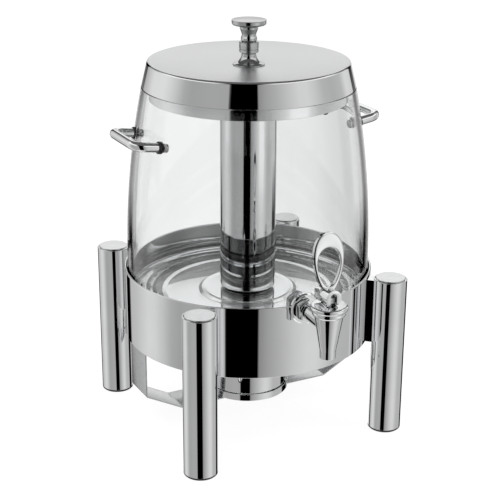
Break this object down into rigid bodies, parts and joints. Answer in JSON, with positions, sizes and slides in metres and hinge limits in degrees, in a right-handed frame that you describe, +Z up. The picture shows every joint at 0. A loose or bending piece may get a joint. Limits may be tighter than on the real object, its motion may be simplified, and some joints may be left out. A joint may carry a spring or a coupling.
{
  "type": "juice dispenser",
  "caption": "Clear barrel juice dispenser on a polished steel ring stand with round tube legs, lift-off lid, central ice tube, side handles and a lever tap.",
  "frame": {"origin": "on the barrel's axis, in the plane of the floor that the feet stand on", "axes": "+Z up along the barrel's axis, -Y towards the tap, +X to the right of someone facing the tap"},
  "size_m": [0.3148, 0.364, 0.472],
  "materials": {
    "mirror_steel": "polished",
    "satin_steel": "satin",
    "clear_plastic": "clear",
    "silicone": "matte",
    "black_plastic": "matte"
  },
  "bodies": {
    "stand": {"base_band": "mirror_steel", "base_pan": "mirror_steel", "leg_tube_front_left": "mirror_steel", "leg_tube_front_right": "mirror_steel", "leg_tube_rear_left": "mirror_steel", "leg_tube_rear_right": "mirror_steel", "leg_cap_front_left": "satin_steel", "leg_cap_front_right": "satin_steel", "leg_cap_rear_left": "satin_steel", "leg_cap_rear_right": "satin_steel", "leg_foot_front_left": "black_plastic", "leg_foot_front_right": "black_plastic", "leg_foot_rear_left": "black_plastic", "leg_foot_rear_right": "black_plastic", "leg_spacer_front_left": "mirror_steel", "leg_spacer_front_right": "mirror_steel", "leg_spacer_rear_left": "mirror_steel", "leg_spacer_rear_right": "mirror_steel", "leg_bolts": "satin_steel", "leg_inserts": "satin_steel", "strap_bracket": "satin_steel", "cup_saucer": "mirror_steel"},
    "cup": {"fuel_cup": "mirror_steel"},
    "container": {"barrel": "clear_plastic", "barrel_floor": "clear_plastic", "handle_left": "mirror_steel", "handle_right": "mirror_steel", "handle_collars": "mirror_steel", "handle_washers": "silicone", "handle_screws": "satin_steel", "tap_body": "mirror_steel", "tap_bonnet": "mirror_steel", "tap_washer": "mirror_steel", "tap_hex_nut": "mirror_steel", "tap_gasket_outer": "silicone", "tap_gasket_inner": "silicone", "tap_back_nut": "satin_steel"},
    "valve": {"valve_stem": "satin_steel", "seat_cup": "silicone"},
    "lever": {"tap_lever": "mirror_steel", "lever_pin": "satin_steel"},
    "tube": {"ice_tube": "mirror_steel", "ice_tube_base": "mirror_steel"},
    "lid": {"lid_shell": "mirror_steel", "lid_skirt": "mirror_steel", "tube_guide": "satin_steel", "lid_knob": "mirror_steel", "knob_collar": "mirror_steel", "knob_base": "mirror_steel", "knob_stud": "satin_steel", "knob_nut": "satin_steel"}
  },
  "joints": [
    {"name": "container_lift", "type": "slide", "parent": "stand", "child": "container", "axis": [0, 0, 1], "range_m": [0, 0.15]},
    {"name": "cup_lift", "type": "slide", "parent": "stand", "child": "cup", "axis": [0, 0, 1], "range_m": [0, 0.04]},
    {"name": "tube_lift", "type": "slide", "parent": "container", "child": "tube", "axis": [0, 0, 1], "range_m": [0, 0.26]},
    {"name": "lid_lift", "type": "slide", "parent": "tube", "child": "lid", "axis": [0, 0, 1], "range_m": [0, 0.1]},
    {"name": "valve_lift", "type": "slide", "parent": "container", "child": "valve", "axis": [0, 0, 1], "range_m": [0, 0.00274]},
    {"name": "lever_pull", "type": "hinge", "parent": "valve", "child": "lever", "pos_m": [-0.00977, -0.19976, 0.2166], "axis": [0.9988, -0.0489, 0], "range_deg": [0, 45], "stiffness_Nm_per_rad": 0.25, "springref_deg": -11.46}
  ],
  "couplings": [
    {"joint": "lever_pull", "follows": "valve_lift", "rad_per_m": 285.71}
  ]
}
